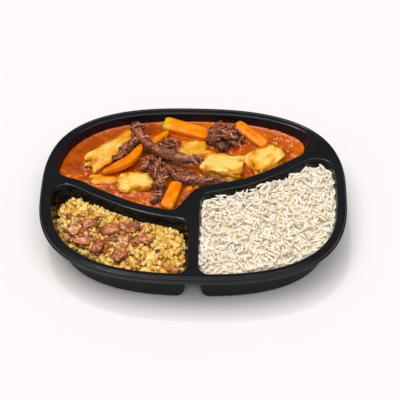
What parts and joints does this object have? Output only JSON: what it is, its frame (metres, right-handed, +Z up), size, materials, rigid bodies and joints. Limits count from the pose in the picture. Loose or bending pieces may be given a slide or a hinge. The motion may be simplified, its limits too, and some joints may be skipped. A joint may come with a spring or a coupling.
{
  "type": "ready meal of rib stew, rice and toasted crumbs in a compartment tray",
  "caption": "Oval black ready-meal tray with a curved divider, holding beef rib stew with root vegetables and carrot in tomato sauce, white rice, and toasted crumbs with bacon.",
  "frame": {"origin": "on the surface the tray stands on, under the middle of the tray", "axes": "+X along the tray's length, towards the rice; +Y towards the stew; +Z up"},
  "size_m": [0.2542, 0.1868, 0.0435],
  "materials": {
    "tray_plastic": "satin black thermoformed plastic",
    "tomato_sauce": "glossy wet tomato sauce",
    "cooked_rice": "soft moist cooked rice",
    "toasted_crumbs": "dry toasted crumbs, slightly oily",
    "boiled_potato": "soft boiled vegetable, wet with sauce",
    "cooked_carrot": "soft cooked carrot, wet with sauce",
    "braised_rib": "shredded braised beef, moist",
    "fried_bacon": "fried bacon, shiny with fat"
  },
  "bodies": {
    "root": {"tray": "tray_plastic", "sauce": "tomato_sauce", "rice": "cooked_rice", "crumbs": "toasted_crumbs", "potato_long": "boiled_potato", "potato_front": "boiled_potato", "potato_middle": "boiled_potato", "potato_back": "boiled_potato", "potato_right": "boiled_potato", "potato_flat": "boiled_potato", "carrot_back": "cooked_carrot", "carrot_right": "cooked_carrot", "carrot_front": "cooked_carrot", "carrot_sliver": "cooked_carrot", "carrot_chip": "cooked_carrot", "carrot_slice": "cooked_carrot", "meat_long": "braised_rib", "meat_low": "braised_rib", "meat_front": "braised_rib", "meat_side": "braised_rib", "meat_back": "braised_rib", "meat_middle": "braised_rib", "bacon_1": "fried_bacon", "bacon_2": "fried_bacon", "bacon_3": "fried_bacon", "bacon_4": "fried_bacon", "bacon_5": "fried_bacon", "bacon_6": "fried_bacon", "bacon_7": "fried_bacon", "bacon_8": "fried_bacon", "bacon_9": "fried_bacon"}
  },
  "joints": []
}
